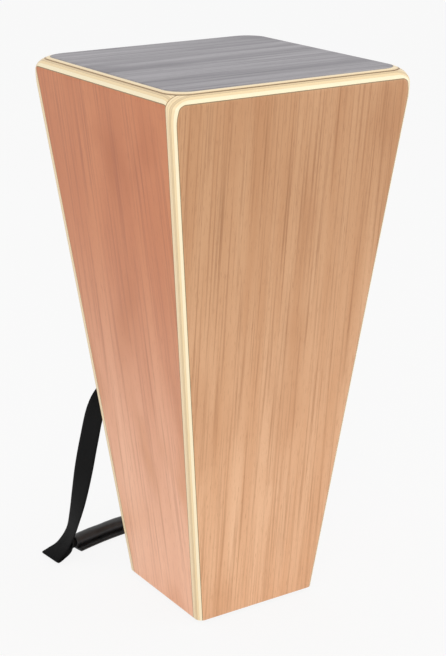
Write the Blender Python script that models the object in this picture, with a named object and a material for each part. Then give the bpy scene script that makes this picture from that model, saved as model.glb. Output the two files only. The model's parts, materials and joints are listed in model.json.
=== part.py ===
"""Conga cajon: a tapered plywood box drum, wide end up, with a carrying strap at its back.

Four tapered boards and a thin playing surface are glued round an inner frame of battens and rails, and
the lower end is open. A webbing strap with a padded sleeve is screwed to the back board and swings about
the line through its two anchors. Lengths are in metres, angles in degrees. X is across the drum, +Y is
its back, +Z is up, and the floor is at z = 0.
"""

import math

import bmesh
import bpy
from mathutils import Vector

# The box
TOP_WIDTH = 0.323
BASE_WIDTH = 0.170
BODY_HEIGHT = 0.660
PANEL_THICKNESS = 0.0135
TOP_THICKNESS = 0.003
EDGE_RADIUS = 0.009
TOP_EDGE_RADIUS = 0.017
TOP_CORNER_RADIUS = 0.026
CORNER_BLEND_DEPTH = 0.036
GLUE_GAP = 0.0003

# The inner frame
BATTEN_SIDE = 0.018
RAIL_HEIGHT = 0.018
RAIL_DEPTH = 0.015

# The feet
FOOT_HEIGHT = 0.004
FOOT_RADIUS = 0.010
FOOT_BEVEL = 0.0012

# The strap's anchors on the back board
ANCHOR_HEIGHT = 0.235
ANCHOR_SPREAD = 0.028
PLATE_LENGTH = 0.036
PLATE_WIDTH = 0.014
PLATE_THICKNESS = 0.002
PLATE_CORNER = 0.003
SCREW_SPACING = 0.022
SCREW_RADIUS = 0.0016
SCREW_BITE = 0.010
SCREW_HEAD_RADIUS = 0.0036
SCREW_HEAD_HEIGHT = 0.0022
SCREW_CLEARANCE = 0.0003

# The strap
STRAP_WIDTH = 0.038
STRAP_THICKNESS = 0.0016
STRAP_END_OVERHANG = 0.009
STRAP_LIFT_OFF = 0.003
STRAP_FLOOR_CLEARANCE = 0.0004
SWING_START = 0.080
SLEEVE_HALF_LENGTH = 0.114
SLEEVE_DIAMETER = 0.0172
SLEEVE_WALL = 0.0013
SLEEVE_FLANGE = 0.0085
SLEEVE_FLANGE_THICKNESS = 0.0026
SLEEVE_BEHIND_ANCHOR = 0.0812
SLEEVE_BOW = 0.0117
SLEEVE_LIFT = 0.0032
ROLL_ANGLE = 27.0

# The strap's route outside the sleeve, left half, from its anchor to the floor. Columns: outwards from
# the drum's centre, behind the anchor, height as a share of the anchor's, turn of the strap's width
# outwards at its far edge, and lift of that edge above level.
HANGING_ROUTE = (
    (0.060, 0.0130, 0.996, 2, 52),
    (0.079, 0.0290, 0.950, 6, 14),
    (0.0925, 0.0360, 0.854, 6, 0),
    (0.102, 0.0390, 0.686, 7, 0),
    (0.1095, 0.0420, 0.519, 7, 0),
    (0.116, 0.0460, 0.352, 0, 0),
    (0.1215, 0.0490, 0.234, -8, -2),
    (0.1265, 0.0530, 0.138, -12, -6),
)
# The same for the fold on the floor, but with the height in metres. The last column says how far the
# webbing is still open, from 1 where it is flat to 0 where it is rolled up in the sleeve.
FLOOR_ROUTE = (
    (0.137, 0.0550, 0.0160, -6, -7, 1.0),
    (0.149, 0.0550, 0.0085, 2, -3, 1.0),
    (0.1565, 0.0550, 0.0045, 5, 0, 1.0),
    (0.152, 0.0580, 0.0012, 4, 0, 1.0),
    (0.140, 0.0625, 0.0016, 0, 0, 0.80),
    (0.128, 0.0665, 0.0040, 0, 0, 0.40),
)

# How finely round shapes are divided
CORNER_SEGMENTS = 8
TOP_EDGE_SEGMENTS = 10
BLEND_SEGMENTS = 3
ROUTE_SEGMENTS = 5
SLEEVE_STATIONS = 12
SLEEVE_SEGMENTS = 20
ROUND_SEGMENTS = 24

# The drum stands this far forward of the origin, so that the origin is at the middle of the whole
# footprint, strap included.
DRUM_FORWARD = 0.0217

SLOPE = (TOP_WIDTH - BASE_WIDTH) / 2 / BODY_HEIGHT
LEAN = math.atan(SLOPE)
WALL = PANEL_THICKNESS / math.cos(LEAN)
BODY_TOP = FOOT_HEIGHT + BODY_HEIGHT
UNDER_TOP = BODY_TOP - TOP_THICKNESS - GLUE_GAP


def half_width(z):
    """Half the drum's outer width at a height, before its edges are rounded."""
    return BASE_WIDTH / 2 + SLOPE * (z - FOOT_HEIGHT)


def inner_half(z):
    """Half the clear width between two boards, less the glue gap to what is glued inside them."""
    return half_width(z) - WALL - GLUE_GAP


def principled(name, color, roughness, metallic=0.0):
    """A plain material in the piece's colour."""
    material = bpy.data.materials.new(name)
    material.use_nodes = True
    shader = material.node_tree.nodes["Principled BSDF"]
    shader.inputs["Base Color"].default_value = (*color, 1.0)
    shader.inputs["Roughness"].default_value = roughness
    shader.inputs["Metallic"].default_value = metallic
    return material


FRONT_VENEER = dict(color=(0.60, 0.37, 0.21), roughness=0.45)
SIDE_VENEER = dict(color=(0.56, 0.29, 0.17), roughness=0.45)
STAINED_TOP = dict(color=(0.26, 0.25, 0.27), roughness=0.55)
BARE_SOFTWOOD = dict(color=(0.74, 0.58, 0.38), roughness=0.75)
BLACK_RUBBER = dict(color=(0.02, 0.02, 0.02), roughness=0.85)
BLACK_STEEL = dict(color=(0.03, 0.03, 0.03), roughness=0.40, metallic=0.8)
BLACK_WEBBING = dict(color=(0.012, 0.012, 0.013), roughness=0.90)
BLACK_LEATHERETTE = dict(color=(0.018, 0.018, 0.018), roughness=0.45)


def empty(name, location, rotation=(0.0, 0.0, 0.0), parent=None):
    """An axis or a reference point that pieces are placed by."""
    point = bpy.data.objects.new(name, None)
    point.empty_display_size = 0.03
    point.location = location
    point.rotation_euler = rotation
    point.parent = parent
    bpy.context.scene.collection.objects.link(point)
    return point


def link(name, mesh, parent, location=(0.0, 0.0, 0.0)):
    """Places a mesh in the scene under its parent."""
    piece = bpy.data.objects.new(name, mesh)
    piece.parent = parent
    piece.location = location
    bpy.context.scene.collection.objects.link(piece)
    return piece


def guide(piece):
    """Marks a cutter or an outline: it shapes other pieces and isn't one itself."""
    piece.hide_render = True
    piece.display_type = "WIRE"
    return piece


def dress(piece, finish):
    """Gives a piece its own material."""
    piece.data.materials.append(principled(piece.name, **finish))
    return piece


def close_mesh(name, vertices, faces, smooth_angle=30):
    """A closed mesh with its faces pointing out, smooth where it is round."""
    mesh = bpy.data.meshes.new(name)
    mesh.from_pydata(vertices, [], faces)
    shape = bmesh.new()
    shape.from_mesh(mesh)
    bmesh.ops.recalc_face_normals(shape, faces=shape.faces)
    shape.to_mesh(mesh)
    shape.free()
    mesh.shade_smooth()
    mesh.set_sharp_from_angle(angle=math.radians(smooth_angle))
    return mesh


def loft(name, rings, hollow=None):
    """Skins a row of rings of equal length. hollow holds the rings of a bore that is open at both ends."""
    count = len(rings[0])
    vertices = [point for ring in rings for point in ring]
    faces = skin(len(rings), count, 0)
    last = (len(rings) - 1) * count
    if hollow is None:
        faces.append(tuple(range(count)))
        faces.append(tuple(range(last + count - 1, last - 1, -1)))
        return close_mesh(name, vertices, faces)
    bore = len(vertices)
    vertices += [point for ring in hollow for point in ring]
    faces += skin(len(hollow), count, bore)
    for end in (0, last):
        for i in range(count):
            j = (i + 1) % count
            faces.append((end + i, end + j, bore + end + j, bore + end + i))
    return close_mesh(name, vertices, faces)


def skin(rows, count, first):
    """The faces between neighbouring rings."""
    faces = []
    for row in range(rows - 1):
        low = first + row * count
        for i in range(count):
            j = (i + 1) % count
            faces.append((low + i, low + j, low + count + j, low + count + i))
    return faces


def rectangle(x_low, x_high, y_low, y_high, z):
    """The corners of a level rectangle."""
    return [(x_low, y_low, z), (x_high, y_low, z), (x_high, y_high, z), (x_low, y_high, z)]


def tapered_block(name, plan, z_low, z_high, parent):
    """A block between two heights. plan(z) gives its x and y limits, which follow the drum's taper."""
    rings = [rectangle(*plan(z), z) for z in (z_low, z_high)]
    return link(name, loft(name, rings), parent)


def turned(name, profile):
    """A solid turned about local Y. profile lists radius and height, from one end's axis to the other's."""
    rings = []
    for radius, height in profile:
        angles = [2 * math.pi * i / ROUND_SEGMENTS for i in range(ROUND_SEGMENTS)]
        rings.append([(radius * math.cos(a), height, radius * math.sin(a)) for a in angles])
    return loft(name, rings)


def corner_radius(depth):
    """The plan radius of the drum's corners at a depth below the playing surface."""
    if depth >= CORNER_BLEND_DEPTH:
        return EDGE_RADIUS
    return EDGE_RADIUS + (TOP_CORNER_RADIUS - EDGE_RADIUS) * (1 - depth / CORNER_BLEND_DEPTH) ** 2


def outline_ring(z):
    """The drum's outer contour at a height: a square with round corners, drawn in by the top round-over."""
    depth = BODY_TOP - z
    inset = 0.0
    if depth < TOP_EDGE_RADIUS:
        inset = TOP_EDGE_RADIUS - math.sqrt(TOP_EDGE_RADIUS**2 - (TOP_EDGE_RADIUS - depth) ** 2)
    radius = corner_radius(depth)
    centre = half_width(z) - inset - radius
    ring = []
    for quarter, (x_side, y_side) in enumerate(((1, 1), (-1, 1), (-1, -1), (1, -1))):
        for step in range(CORNER_SEGMENTS + 1):
            angle = math.pi / 2 * (quarter + step / CORNER_SEGMENTS)
            x = x_side * centre + radius * math.cos(angle)
            y = y_side * centre + radius * math.sin(angle)
            ring.append((x, y, z))
    return ring


def body_outline(parent):
    """The whole drum's rounded outer form, which trims every board and the playing surface."""
    heights = [FOOT_HEIGHT]
    for step in range(BLEND_SEGMENTS):
        share = step / BLEND_SEGMENTS
        heights.append(BODY_TOP - CORNER_BLEND_DEPTH + share * (CORNER_BLEND_DEPTH - TOP_EDGE_RADIUS))
    for step in range(TOP_EDGE_SEGMENTS + 1):
        angle = math.pi / 2 * (1 - step / TOP_EDGE_SEGMENTS)
        heights.append(BODY_TOP - TOP_EDGE_RADIUS * (1 - math.cos(angle)))
    return guide(link("body_outline", loft("body_outline", [outline_ring(z) for z in heights]), parent))


def boolean(piece, other, operation):
    """Cuts or trims a piece with a guide."""
    cut = piece.modifiers.new(other.name, "BOOLEAN")
    cut.operation = operation
    cut.object = other
    cut.solver = "EXACT"
    return piece


def board(name, plan, outline, finish, parent):
    """One board of the box, sawn past the drum's outline and then rounded to it."""
    spare = EDGE_RADIUS
    piece = tapered_block(name, plan, FOOT_HEIGHT - spare, UNDER_TOP, parent)
    return dress(boolean(piece, outline, "INTERSECT"), finish)


def boards(outline, parent):
    """The front and back boards cover the edges of the two side boards. Returns the back board."""

    def outside(z):
        return half_width(z) + EDGE_RADIUS

    def inside(z):
        return half_width(z) - WALL

    def front(z):
        return (-outside(z), outside(z), -outside(z), -inside(z))

    def back(z):
        return (-outside(z), outside(z), inside(z), outside(z))

    def left(z):
        return (-outside(z), -inside(z), -inner_half(z), inner_half(z))

    def right(z):
        return (inside(z), outside(z), -inner_half(z), inner_half(z))

    board("front_board", front, outline, FRONT_VENEER, parent)
    board("left_board", left, outline, SIDE_VENEER, parent)
    board("right_board", right, outline, SIDE_VENEER, parent)
    return board("back_board", back, outline, FRONT_VENEER, parent)


def playing_surface(outline, parent):
    """The thin top board that is struck. It covers the ends of all four boards."""
    reach = TOP_WIDTH / 2 + EDGE_RADIUS
    rings = [
        rectangle(-reach, reach, -reach, reach, z)
        for z in (BODY_TOP - TOP_THICKNESS, BODY_TOP + EDGE_RADIUS)
    ]
    piece = link("playing_surface", loft("playing_surface", rings), parent)
    dress(boolean(piece, outline, "INTERSECT"), STAINED_TOP)


def battens(parent):
    """A square glue batten up each inner corner."""
    for depth_name, y_side in (("front", -1), ("back", 1)):
        for side_name, x_side in (("left", -1), ("right", 1)):

            def plan(z, x_side=x_side, y_side=y_side):
                outer = inner_half(z)
                x_limits = sorted((x_side * outer, x_side * (outer - BATTEN_SIDE)))
                y_limits = sorted((y_side * outer, y_side * (outer - BATTEN_SIDE)))
                return (*x_limits, *y_limits)

            name = f"{depth_name}_{side_name}_batten"
            dress(tapered_block(name, plan, FOOT_HEIGHT, UNDER_TOP, parent), BARE_SOFTWOOD)


def rails(parent):
    """Rails between the battens, glued under the playing surface's edge."""
    for name, side, along_x in (
        ("front_rail", -1, True),
        ("back_rail", 1, True),
        ("left_rail", -1, False),
        ("right_rail", 1, False),
    ):

        def plan(z, side=side, along_x=along_x):
            length = inner_half(z) - BATTEN_SIDE - GLUE_GAP
            across = sorted((side * inner_half(z), side * (inner_half(z) - RAIL_DEPTH)))
            return (-length, length, *across) if along_x else (*across, -length, length)

        piece = tapered_block(name, plan, UNDER_TOP - RAIL_HEIGHT, UNDER_TOP, parent)
        dress(piece, BARE_SOFTWOOD)


def feet(parent):
    """A rubber pad under each batten."""
    place = inner_half(FOOT_HEIGHT) - BATTEN_SIDE / 2
    height = FOOT_HEIGHT - GLUE_GAP
    profile = (
        (FOOT_RADIUS - FOOT_BEVEL, 0.0),
        (FOOT_RADIUS, FOOT_BEVEL),
        (FOOT_RADIUS, height),
    )
    for depth_name, y_side in (("front", -1), ("back", 1)):
        for side_name, x_side in (("left", -1), ("right", 1)):
            name = f"{depth_name}_{side_name}_foot"
            piece = link(name, turned(name, profile), parent, (x_side * place, y_side * place, 0.0))
            piece.rotation_euler = (math.radians(90), 0.0, 0.0)
            dress(piece, BLACK_RUBBER)


def plate_outline(length, width, corner, height):
    """A rectangle with round corners at one height over the board, long side up the slope."""
    ring = []
    for quarter, (x_side, z_side) in enumerate(((1, 1), (-1, 1), (-1, -1), (1, -1))):
        for step in range(CORNER_SEGMENTS // 2 + 1):
            angle = math.pi / 2 * (quarter + step / (CORNER_SEGMENTS // 2))
            x = x_side * (width / 2 - corner) + corner * math.cos(angle)
            z = z_side * (length / 2 - corner) + corner * math.sin(angle)
            ring.append((x, height, z))
    return ring


STRAP_BOTTOM = GLUE_GAP
PLATE_BOTTOM = STRAP_BOTTOM + STRAP_THICKNESS + GLUE_GAP
HEAD_BOTTOM = PLATE_BOTTOM + PLATE_THICKNESS + GLUE_GAP


def screw_mesh(name):
    """A pan-head screw whose head stands on the plate and whose shank runs into the board."""
    profile = (
        (SCREW_RADIUS * 0.3, -SCREW_BITE),
        (SCREW_RADIUS, -SCREW_BITE + 2 * SCREW_RADIUS),
        (SCREW_RADIUS, HEAD_BOTTOM),
        (SCREW_HEAD_RADIUS, HEAD_BOTTOM),
        (SCREW_HEAD_RADIUS, HEAD_BOTTOM + SCREW_HEAD_HEIGHT * 0.4),
        (SCREW_HEAD_RADIUS * 0.8, HEAD_BOTTOM + SCREW_HEAD_HEIGHT * 0.85),
        (SCREW_HEAD_RADIUS * 0.4, HEAD_BOTTOM + SCREW_HEAD_HEIGHT),
    )
    return turned(name, profile)


def screw_hole(name, parent, location):
    """The guide that drills the plate, the strap's end and the board for one screw."""
    radius = SCREW_RADIUS + SCREW_CLEARANCE
    profile = ((radius, -SCREW_BITE - SCREW_CLEARANCE), (radius, 2 * HEAD_BOTTOM))
    return guide(link(name, turned(name, profile), parent, location))


def anchors(back_board, strap_ends, parent):
    """A steel plate and two screws hold each end of the strap to the back board."""
    for side_name, side in (("left", -1), ("right", 1)):
        x = side * ANCHOR_SPREAD
        rings = [
            plate_outline(PLATE_LENGTH, PLATE_WIDTH, PLATE_CORNER, height)
            for height in (PLATE_BOTTOM, PLATE_BOTTOM + PLATE_THICKNESS)
        ]
        name = f"{side_name}_strap_plate"
        plate = dress(link(name, loft(name, rings), parent, (x, 0.0, 0.0)), BLACK_STEEL)
        for level_name, level in (("upper", 1), ("lower", -1)):
            place = (x, 0.0, level * SCREW_SPACING / 2)
            name = f"{side_name}_{level_name}_screw"
            dress(link(name, screw_mesh(name), parent, place), BLACK_STEEL)
            hole = screw_hole(f"{name}_hole", parent, place)
            for piece in (plate, strap_ends[side_name], back_board):
                boolean(piece, hole, "DIFFERENCE")


def anchor_point():
    """The middle of the strap's thickness at its anchors, which is on the axis that it swings about."""
    z = FOOT_HEIGHT + ANCHOR_HEIGHT
    out = GLUE_GAP + STRAP_THICKNESS / 2
    return Vector((0.0, half_width(z) + out * math.cos(LEAN), z - out * math.sin(LEAN)))


def sleeve_centre(x):
    """The middle of the sleeve's round part at a distance from the drum's centre."""
    share = 1 - (x / SLEEVE_HALF_LENGTH) ** 2
    y = anchor_point().y + SLEEVE_BEHIND_ANCHOR - SLEEVE_BOW * (1 - share)
    z = SLEEVE_DIAMETER / 2 + STRAP_FLOOR_CLEARANCE / 2 + SLEEVE_LIFT * share
    return Vector((x, y, z))


def mirrored(row, middle):
    """A row's reflection across the x of another one."""
    return (2 * middle[0] - row[0], *row[1:])


def smooth_rows(rows, segments):
    """Rows of numbers read from one smooth curve through the given rows, which starts and ends along X."""
    rows = [mirrored(rows[1], rows[0]), *rows, mirrored(rows[-2], rows[-1])]
    smooth = []
    for before, start, end, after in zip(rows, rows[1:], rows[2:], rows[3:]):
        for step in range(segments):
            t = step / segments
            smooth.append(
                [
                    b + ((c - a) * t + (2 * a - 5 * b + 4 * c - d) * t**2 + (3 * b - a - 3 * c + d) * t**3) / 2
                    for a, b, c, d in zip(before, start, end, after)
                ]
            )
    smooth.append(list(rows[-2]))
    return smooth


def strap_rows():
    """The strap's left half, from its end under the plate to the drum's centre line.

    Each row holds the place of the strap's middle, the turn and lift of its width in degrees, its width
    and its thickness. Inside the sleeve it is rolled up lengthwise, which a narrow thick bar stands for.
    """
    anchor = anchor_point()
    upright = 90 - math.degrees(LEAN)
    bore = SLEEVE_DIAMETER / 2 - SLEEVE_WALL - 2 * GLUE_GAP
    rolled_width = 2 * bore * math.cos(math.radians(ROLL_ANGLE))
    rolled_thickness = 2 * bore * math.sin(math.radians(ROLL_ANGLE))
    flat = (anchor.y, anchor.z, 0, upright, STRAP_WIDTH, STRAP_THICKNESS)
    strap_tip = (ANCHOR_SPREAD - PLATE_WIDTH / 2 - STRAP_END_OVERHANG, *flat)
    rows = [(ANCHOR_SPREAD + PLATE_WIDTH / 2 + STRAP_LIFT_OFF, *flat)]
    for x, behind, share, turn, lift in HANGING_ROUTE:
        rows.append((x, anchor.y + behind, anchor.z * share, turn, lift, STRAP_WIDTH, STRAP_THICKNESS))
    for x, behind, height, turn, lift, open_share in FLOOR_ROUTE:
        width = rolled_width + (STRAP_WIDTH - rolled_width) * open_share
        height = max(height, STRAP_THICKNESS / 2 + STRAP_FLOOR_CLEARANCE)
        rows.append((x, anchor.y + behind, height, turn, lift, width, STRAP_THICKNESS))
    for step in range(5):
        x = SLEEVE_HALF_LENGTH * (1 - step / 4)
        rows.append((*sleeve_centre(x), 0, 0, rolled_width, rolled_thickness))
    return [strap_tip, *smooth_rows(rows, ROUTE_SEGMENTS)]


def strap_ring(row, ahead, side):
    """The four corners of the strap's section at one row of its route."""
    x, y, z, turn, lift, width, thickness = row
    turn, lift = math.radians(turn), math.radians(lift)
    across = Vector((side * math.sin(turn) * math.cos(lift), math.cos(turn) * math.cos(lift), math.sin(lift)))
    face = ahead.cross(across).normalized()
    middle = Vector((side * x, y, z))
    corners = ((-1, -1), (1, -1), (1, 1), (-1, 1))
    return [middle + across * (i * width / 2) + face * (j * thickness / 2) for i, j in corners]


def strap_rings(rows, side):
    """The sections of one half of the strap, each facing along the route."""
    middles = [Vector((side * row[0], row[1], row[2])) for row in rows]
    rings = []
    for i, row in enumerate(rows):
        ahead = middles[min(i + 1, len(rows) - 1)] - middles[max(i - 1, 0)]
        rings.append(strap_ring(row, ahead, side))
    return rings


def strap(parent, swing):
    """The strap as three solids: an end on each anchor, and the loop that swings. Returns the two ends."""
    rows = strap_rows()
    first_swinging = next(i for i, row in enumerate(rows) if row[0] > SWING_START)
    ends = {}
    loop = []
    for side_name, side in (("left", -1), ("right", 1)):
        rings = strap_rings(rows, side)
        gap = Vector((side * GLUE_GAP, 0.0, 0.0))
        seam = rings[first_swinging]
        name = f"{side_name}_strap_end"
        fixed = rings[:first_swinging] + [[point - gap for point in seam]]
        ends[side_name] = dress(link(name, loft(name, fixed), parent), BLACK_WEBBING)
        half = [[point - swing.location for point in ring] for ring in rings[first_swinging:]]
        if side == -1:
            loop += half
        else:
            loop += [[ring[1], ring[0], ring[3], ring[2]] for ring in reversed(half[:-1])]
    dress(link("strap_loop", loft("strap_loop", loop), swing), BLACK_WEBBING)
    return ends


def sleeve_profile():
    """The sleeve's outer contour and its bore, as (towards the back, up) pairs of equal number."""
    radius = SLEEVE_DIAMETER / 2
    bore = radius - SLEEVE_WALL
    flange_top = math.asin((SLEEVE_FLANGE_THICKNESS - radius) / radius)
    outer, inner = [], []
    for step in range(SLEEVE_SEGMENTS + 1):
        angle = -math.pi / 2 + step / SLEEVE_SEGMENTS * (1.5 * math.pi - flange_top)
        outer.append((radius * math.cos(angle), radius * math.sin(angle)))
        inner.append((bore * math.cos(angle), bore * math.sin(angle)))
    edge = -radius - SLEEVE_FLANGE
    for share, up in ((1 / 3, SLEEVE_FLANGE_THICKNESS - radius), (2 / 3, -radius)):
        angle = math.pi - flange_top + share * (math.pi / 2 + flange_top)
        outer.append((edge, up))
        inner.append((bore * math.cos(angle), bore * math.sin(angle)))
    return outer, inner


def sleeve(swing):
    """The padded sleeve round the strap's middle: a soft tube sewn shut along a flat flange."""
    rings, bores = [], []
    for step in range(SLEEVE_STATIONS + 1):
        x = SLEEVE_HALF_LENGTH * (2 * step / SLEEVE_STATIONS - 1)
        middle = sleeve_centre(x) - swing.location
        slope = -2 * SLEEVE_BOW * x / SLEEVE_HALF_LENGTH**2
        back = Vector((-slope, 1.0, 0.0)).normalized()
        for outline, target in zip(sleeve_profile(), (rings, bores)):
            target.append([middle + back * p + Vector((0.0, 0.0, q)) for p, q in outline])
    dress(link("strap_sleeve", loft("strap_sleeve", rings, bores), swing), BLACK_LEATHERETTE)


def main():
    """Builds the drum in an empty scene."""
    for old in list(bpy.data.objects):
        bpy.data.objects.remove(old, do_unlink=True)
    drum = empty("conga_cajon", (0.0, -DRUM_FORWARD, 0.0))
    outline = body_outline(drum)
    back_board = boards(outline, drum)
    playing_surface(outline, drum)
    battens(drum)
    rails(drum)
    feet(drum)
    anchor = anchor_point()
    swing = empty("strap_swing_axis", anchor, parent=drum)
    strap_ends = strap(drum, swing)
    sleeve(swing)
    face = (0.0, half_width(FOOT_HEIGHT + ANCHOR_HEIGHT), FOOT_HEIGHT + ANCHOR_HEIGHT)
    anchor_face = empty("strap_anchor_face", face, (-LEAN, 0.0, 0.0), drum)
    anchors(back_board, strap_ends, anchor_face)


main()
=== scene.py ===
"""Conga cajon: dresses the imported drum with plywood, stain, webbing and a padded sleeve.

Lengths are in metres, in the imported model's own frame: +X to the drum's right, +Y to its back, +Z up.
"""

import json
import logging
import math
from dataclasses import dataclass, field
from enum import Enum
from typing import Sequence

import bmesh
import bpy
from mathutils import Matrix, Vector, noise


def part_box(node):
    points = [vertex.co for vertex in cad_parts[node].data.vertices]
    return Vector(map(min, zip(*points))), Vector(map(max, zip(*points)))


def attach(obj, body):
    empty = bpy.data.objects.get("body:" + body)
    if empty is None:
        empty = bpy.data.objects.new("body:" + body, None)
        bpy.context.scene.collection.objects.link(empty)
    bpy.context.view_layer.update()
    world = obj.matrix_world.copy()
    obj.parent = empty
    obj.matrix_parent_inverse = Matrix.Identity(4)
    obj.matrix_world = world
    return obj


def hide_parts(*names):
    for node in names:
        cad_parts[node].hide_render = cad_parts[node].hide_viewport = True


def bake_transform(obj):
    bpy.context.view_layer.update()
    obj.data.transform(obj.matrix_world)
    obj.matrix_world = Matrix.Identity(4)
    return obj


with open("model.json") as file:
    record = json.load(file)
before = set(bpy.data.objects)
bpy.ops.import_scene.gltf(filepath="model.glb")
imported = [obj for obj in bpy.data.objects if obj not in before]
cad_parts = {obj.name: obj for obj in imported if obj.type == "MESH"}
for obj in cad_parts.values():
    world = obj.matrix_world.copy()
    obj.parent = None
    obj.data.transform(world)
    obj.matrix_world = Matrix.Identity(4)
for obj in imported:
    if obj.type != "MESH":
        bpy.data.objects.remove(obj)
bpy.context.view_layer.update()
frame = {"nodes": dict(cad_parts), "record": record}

log = logging.getLogger("conga_cajon")

Piece = bpy.types.Object
Tree = bpy.types.NodeTree
Node = bpy.types.Node
Socket = bpy.types.NodeSocket
Point = tuple[float, float, float]

MM = 0.001
SHARP_ANGLE = 35.0
UP = Vector((0, 0, 1))


class Side(Enum):
    """The drum's left or right, as the sign of x."""

    LEFT = -1
    RIGHT = 1


class Face(Enum):
    """A board's outward direction in plan."""

    FRONT = (0, -1)
    BACK = (0, 1)
    LEFT = (-1, 0)
    RIGHT = (1, 0)


class Fade(Enum):
    """How a colour sets in, as the node's interpolation."""

    STRAIGHT = "LINEAR"
    SOFT = "SMOOTHSTEP"


def linear(color: str) -> tuple[float, float, float, float]:
    """Turns an sRGB hex colour to linear RGBA.

    Args:
        color: six hex digits after a #.

    Returns:
        Red, green, blue and an alpha of 1.
    """
    channels = [int(color[i : i + 2], 16) / 255 for i in (1, 3, 5)]
    values = [c / 12.92 if c <= 0.04045 else ((c + 0.055) / 1.055) ** 2.4 for c in channels]
    return (values[0], values[1], values[2], 1.0)


def add_node(
    tree: Tree,
    kind: str,
    inputs: dict | None = None,
    stops: Sequence[tuple[float, str]] = (),
    **settings: object,
) -> Node:
    """Adds a node with its settings and links.

    Args:
        tree: the material's node tree.
        kind: the node's type after "ShaderNode".
        inputs: a value or a socket to link, for each input's name or number.
        stops: places and hex colours, for a colour ramp.
        settings: the node's own properties.

    Returns:
        The new node.
    """
    node = tree.nodes.new("ShaderNode" + kind)
    for name, value in settings.items():
        setattr(node, name, value)
    for name, value in (inputs or {}).items():
        if isinstance(value, Socket):
            tree.links.new(value, node.inputs[name])
        else:
            node.inputs[name].default_value = value
    for i, (place, color) in enumerate(stops):
        elements = node.color_ramp.elements
        element = elements[i] if i < 2 else elements.new(place)
        element.position = place
        element.color = linear(color)
    return node


@dataclass(frozen=True)
class Finish:
    """A surface finish. Each kind of finish says in paint() how it looks."""

    name: str
    roughness: float = 0.5
    metallic: float = 0.0
    ior: float = 1.5

    def paint(self, tree: Tree, shader: Node) -> None:
        """Adds the finish's own nodes.

        Args:
            tree: the material's node tree.
            shader: its shader node.
        """

    def material(self) -> bpy.types.Material:
        """Makes the material.

        Returns:
            A new material with the finish's nodes.
        """
        made = bpy.data.materials.new(self.name)
        made.use_nodes = True
        shader = made.node_tree.nodes["Principled BSDF"]
        shader.inputs["Roughness"].default_value = self.roughness
        shader.inputs["Metallic"].default_value = self.metallic
        shader.inputs["IOR"].default_value = self.ior
        self.paint(made.node_tree, shader)
        return made

    def dress(self, piece: Piece) -> Piece:
        """Gives a piece this finish in place of what it had.

        Args:
            piece: the piece.

        Returns:
            The same piece.
        """
        piece.data.materials.clear()
        piece.data.materials.append(self.material())
        return piece


@dataclass(frozen=True)
class Layer:
    """One layer of a wood's pattern: noise drawn out along the grain that brings in a colour.

    The colour sets in where the noise passes low, and has its full share where the noise passes high.
    """

    color: str
    share: float
    width: float
    length: float
    detail: float
    low: float
    high: float
    fade: Fade = Fade.STRAIGHT


@dataclass(frozen=True)
class Veneer:
    """The colours of one face veneer, as sliced, sanded and lacquered."""

    pale: str
    middle: str
    deep: str
    patch: str
    patch_share: float
    # The colour multiplied in towards the top, and the heights where it starts and is full: partly the wood's
    # own colour, partly painted shade.
    upper_tone_and_shade: str = "#FFFFFF"
    tone_and_shade_heights: tuple[float, float] = (0.0, 0.66)
    streak_width: float = 3.0 * MM
    figure_width: float = 22 * MM
    figure_length: float = 450 * MM
    figure_detail: float = 2.0
    figure_range: tuple[float, float] = (0.30, 0.70)

    def layers(self) -> tuple[Layer, ...]:
        """Lists what lies over the broad figure.

        Returns:
            Soft patches, long darker streaks, and pores. Real pores are about 0.2 mm wide, which wouldn't
            show, so they are drawn 0.9 mm wide.
        """
        return (
            Layer(
                self.patch,
                self.patch_share,
                width=70 * MM,
                length=160 * MM,
                detail=1.5,
                low=0.50,
                high=0.72,
                fade=Fade.SOFT,
            ),
            Layer(
                self.deep, 0.75, width=self.streak_width, length=220 * MM, detail=3.0, low=0.50, high=0.75
            ),
            Layer(self.deep, 0.45, width=0.9 * MM, length=14 * MM, detail=2.0, low=0.58, high=0.72),
        )


# Front and back: straight grained, honey coloured, with fine darker lines, and browner towards the top,
# partly the wood's own colour and partly painted shade.
HONEY_VENEER = Veneer(
    "#F1C097", "#E0A97D", "#B27B4F", "#D1976A", 0.40, upper_tone_and_shade="#DAD2C5", tone_and_shade_heights=(0.02, 0.62)
)
# Sides: pinker and softer, with orange brown patches, and redder and darker towards the top, partly the
# wood's own colour and partly painted shade.
ROSE_VENEER = Veneer(
    "#FFC7A4",
    "#F2B48F",
    "#CB8A68",
    "#DB955F",
    0.60,
    upper_tone_and_shade="#D2AA86",
    tone_and_shade_heights=(0.03, 0.53),
    streak_width=5.0 * MM,
    figure_width=45 * MM,
)
# Top: thin plywood stained grey before lacquering, so its grain stays visible as darker streaks.
GREY_STAIN = Veneer(
    "#A19DA2", "#7D797F", "#4A464D", "#6B676E", 0.6, streak_width=2.6 * MM, figure_width=16 * MM
)

# Each ply starts at a depth under the face. The thin darker ones between the pale plies are glue lines; the
# wider dark band just inside the inner face is a glue line deepened into painted shade of the glue gap at the
# joints.
BOARD_PLIES = (
    (0.0, "#8F7A55"),
    (0.85 * MM, "#FFF0CC"),
    (2.9 * MM, "#EAD0A2"),
    (3.1 * MM, "#F6DDB0"),
    (5.0 * MM, "#CBB187"),
    (5.3 * MM, "#E4CBA2"),
    (7.2 * MM, "#C9AE85"),
    (7.5 * MM, "#F7DFB4"),
    (9.8 * MM, "#D4B88D"),
    (10.1 * MM, "#F8E2BA"),
    # A glue line darkened into painted shade, for the shadow in the gap where the boards meet.
    (12.7 * MM, "#8C6A45"),
    (13.3 * MM, "#E3C79B"),
)
TOP_PLIES = (
    (0.0, "#7C6F66"),
    (0.75 * MM, "#F8E4BE"),
    (1.9 * MM, "#E8CDA0"),
    # A glue line darkened into painted shade, for the shadow in the gap where the top meets the boards.
    (2.45 * MM, "#8C6A4B"),
    (2.95 * MM, "#E0C498"),
)


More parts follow.
